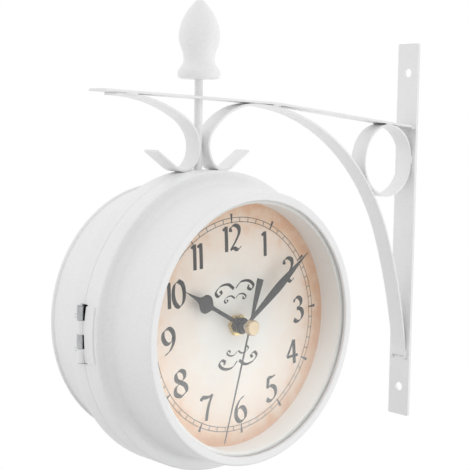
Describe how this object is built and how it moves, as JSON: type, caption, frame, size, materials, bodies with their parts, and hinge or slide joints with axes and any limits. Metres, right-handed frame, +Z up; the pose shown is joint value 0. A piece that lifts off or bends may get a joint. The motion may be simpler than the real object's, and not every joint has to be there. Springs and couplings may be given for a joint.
{
  "type": "double sided station clock",
  "caption": "Round two-faced hanging clock with white drum case, glazed dials and hands, on a scrolled wall bracket with ring, curved brace, wall plate and turned finial.",
  "frame": {"origin": "centre of the two wall screw holes, on the wall behind the plate", "axes": "+Z up, +X into the wall, the bracket reaches out along -X, the front dial faces -Y and the rear dial faces +Y"},
  "size_m": [0.2742, 0.0898, 0.2673],
  "materials": {
    "white_paint": "powder-coated sheet steel, semi-matt white",
    "zinc_steel": "zinc plated steel",
    "black_plastic": "moulded black styrene",
    "magnet": "sintered ferrite",
    "dial_glass": "flat float glass",
    "reveal_card": "matt grey-white extruded band",
    "dial_card": "printed sheet aluminium, aged cream with a tan edge",
    "circuit_green": "glass fibre board",
    "copper_wire": "enamelled copper winding",
    "battery_jacket": "shrink sleeve",
    "white_plastic": "moulded acetal",
    "black_rubber": "cut rubber sheet",
    "yellow_brass": "turned brass",
    "black_hands": "black lacquered stamped aluminium",
    "brass_cap": "pale lacquered brass"
  },
  "bodies": {
    "root": {"wall_plate": "white_paint", "arm_strip": "white_paint", "hook_brace_strip": "white_paint", "left_scroll_strip": "white_paint", "ring_strip": "white_paint", "weld_beads": "white_paint", "hanger_rod": "white_paint", "finial": "white_paint", "rod_washer": "zinc_steel", "rod_nut": "zinc_steel", "rear_shell": "white_paint", "hinge_pin": "white_paint", "hinge_rear_leaf": "white_paint", "hinge_rear_rivets": "white_paint", "catch_bracket": "black_plastic", "catch_magnet": "magnet", "rear_glass": "dial_glass", "rear_spacer_ring": "reveal_card", "rear_dial": "dial_card", "rear_dial_keeper": "zinc_steel", "rear_movement_case": "black_plastic", "rear_movement_cover": "black_plastic", "rear_circuit_board": "circuit_green", "rear_motor_coil": "copper_wire", "rear_battery": "battery_jacket", "rear_battery_contacts": "zinc_steel", "rear_rubber_washer": "black_rubber", "rear_fixing_nut": "yellow_brass"},
    "front_door": {"front_shell": "white_paint", "hinge_front_leaf": "white_paint", "hinge_front_rivets": "white_paint", "strike_plate": "zinc_steel", "front_glass": "dial_glass", "front_spacer_ring": "reveal_card", "front_dial": "dial_card", "front_dial_keeper": "zinc_steel", "front_movement_case": "black_plastic", "front_movement_cover": "black_plastic", "front_circuit_board": "circuit_green", "front_motor_coil": "copper_wire", "front_battery": "battery_jacket", "front_battery_contacts": "zinc_steel", "front_rubber_washer": "black_rubber", "front_fixing_nut": "yellow_brass"},
    "front_hour": {"front_hour_wheel": "white_plastic", "front_hour_hand": "black_hands"},
    "front_minute": {"front_minute_wheel": "white_plastic", "front_minute_hand": "black_hands"},
    "front_second": {"front_second_wheel": "white_plastic", "front_second_hand": "black_hands", "front_hand_cap": "brass_cap"},
    "front_knob": {"front_set_knob": "black_plastic"},
    "rear_hour": {"rear_hour_wheel": "white_plastic", "rear_hour_hand": "black_hands"},
    "rear_minute": {"rear_minute_wheel": "white_plastic", "rear_minute_hand": "black_hands"},
    "rear_second": {"rear_second_wheel": "white_plastic", "rear_second_hand": "black_hands", "rear_hand_cap": "brass_cap"},
    "rear_knob": {"rear_set_knob": "black_plastic"}
  },
  "joints": [
    {"name": "case_hinge", "type": "hinge", "parent": "root", "child": "front_door", "pos_m": [-0.2724, -0.008, -0.0402], "axis": [0, 0, -1], "range_deg": [0, 120]},
    {"name": "front_second_spin", "type": "hinge", "parent": "front_door", "child": "front_second", "pos_m": [-0.1864, -0.008, -0.0402], "axis": [0, 1, 0], "continuous": true},
    {"name": "front_minute_spin", "type": "hinge", "parent": "front_door", "child": "front_minute", "pos_m": [-0.1864, -0.008, -0.0402], "axis": [0, 1, 0], "continuous": true},
    {"name": "front_hour_spin", "type": "hinge", "parent": "front_door", "child": "front_hour", "pos_m": [-0.1864, -0.008, -0.0402], "axis": [0, 1, 0], "continuous": true},
    {"name": "front_knob_spin", "type": "hinge", "parent": "front_door", "child": "front_knob", "pos_m": [-0.17509, -0.008, -0.02889], "axis": [0, 1, 0], "continuous": true},
    {"name": "rear_second_spin", "type": "hinge", "parent": "root", "child": "rear_second", "pos_m": [-0.1864, -0.008, -0.0402], "axis": [0, -1, 0], "continuous": true},
    {"name": "rear_minute_spin", "type": "hinge", "parent": "root", "child": "rear_minute", "pos_m": [-0.1864, -0.008, -0.0402], "axis": [0, -1, 0], "continuous": true},
    {"name": "rear_hour_spin", "type": "hinge", "parent": "root", "child": "rear_hour", "pos_m": [-0.1864, -0.008, -0.0402], "axis": [0, -1, 0], "continuous": true},
    {"name": "rear_knob_spin", "type": "hinge", "parent": "root", "child": "rear_knob", "pos_m": [-0.19771, -0.008, -0.02889], "axis": [0, -1, 0], "continuous": true}
  ],
  "couplings": [
    {"joint": "front_minute_spin", "follows": "front_second_spin", "ratio": 0.016667},
    {"joint": "front_hour_spin", "follows": "front_second_spin", "ratio": 0.0013889},
    {"joint": "front_knob_spin", "follows": "front_second_spin", "ratio": -0.016667},
    {"joint": "rear_minute_spin", "follows": "rear_second_spin", "ratio": 0.016667},
    {"joint": "rear_hour_spin", "follows": "rear_second_spin", "ratio": 0.0013889},
    {"joint": "rear_knob_spin", "follows": "rear_second_spin", "ratio": -0.016667}
  ]
}
